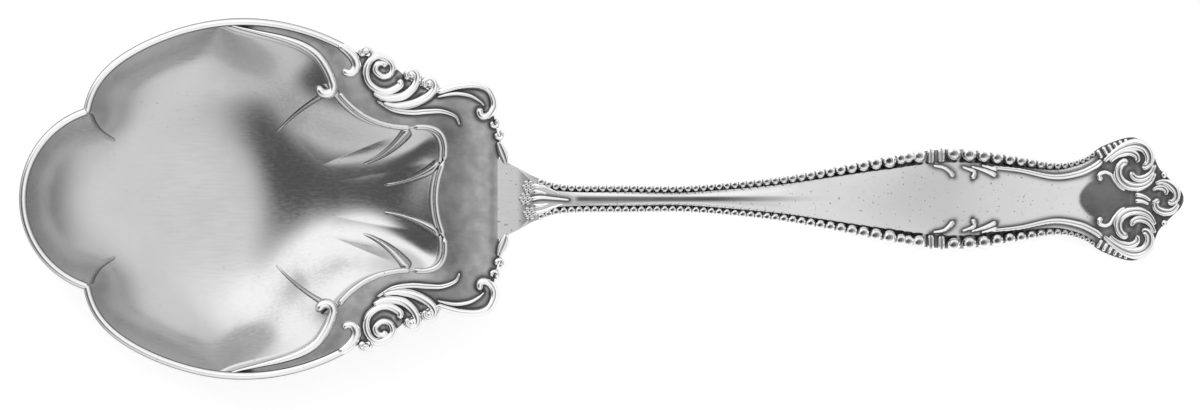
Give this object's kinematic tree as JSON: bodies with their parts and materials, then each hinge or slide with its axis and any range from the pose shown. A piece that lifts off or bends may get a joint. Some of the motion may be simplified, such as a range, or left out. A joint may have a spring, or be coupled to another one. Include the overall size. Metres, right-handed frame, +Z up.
{
  "type": "serving spoon",
  "caption": "Silver berry spoon with a lobed shallow bowl, a scrolled shoulder, a slim stem with beaded edges and a handle that ends in volutes, for serving fruit.",
  "frame": {"origin": "middle of the small flat under the bowl, on which the spoon rests", "axes": "+X along the spoon from the bowl towards the tip of the handle, +Z up out of the open bowl, +Y across it; the XZ plane is the plane of symmetry"},
  "size_m": [0.2301, 0.0714, 0.0202],
  "materials": {
    "polished_silver": "polished silver with fine use scratches",
    "struck_silver": "struck silver ornament, bright on its tops and dark with tarnish in its recesses"
  },
  "bodies": {
    "root": {"bowl": "polished_silver", "shoulder": "polished_silver", "handle": "polished_silver", "front_rim": "polished_silver", "right_rim": "polished_silver", "left_rim": "polished_silver", "right_rib": "polished_silver", "left_rib": "polished_silver", "heel_moulding": "polished_silver", "neck_palmette": "struck_silver", "tip_volute": "struck_silver", "right_volute_group": "struck_silver", "left_volute_group": "struck_silver", "right_corner_scroll": "struck_silver", "left_corner_scroll": "struck_silver", "right_stem_beads": "struck_silver", "left_stem_beads": "struck_silver", "right_collar": "struck_silver", "left_collar": "struck_silver", "right_end_beads": "struck_silver", "left_end_beads": "struck_silver", "right_sprig": "struck_silver", "left_sprig": "struck_silver", "right_fillet": "struck_silver", "left_fillet": "struck_silver", "right_end_volute": "struck_silver", "left_end_volute": "struck_silver"}
  },
  "joints": []
}
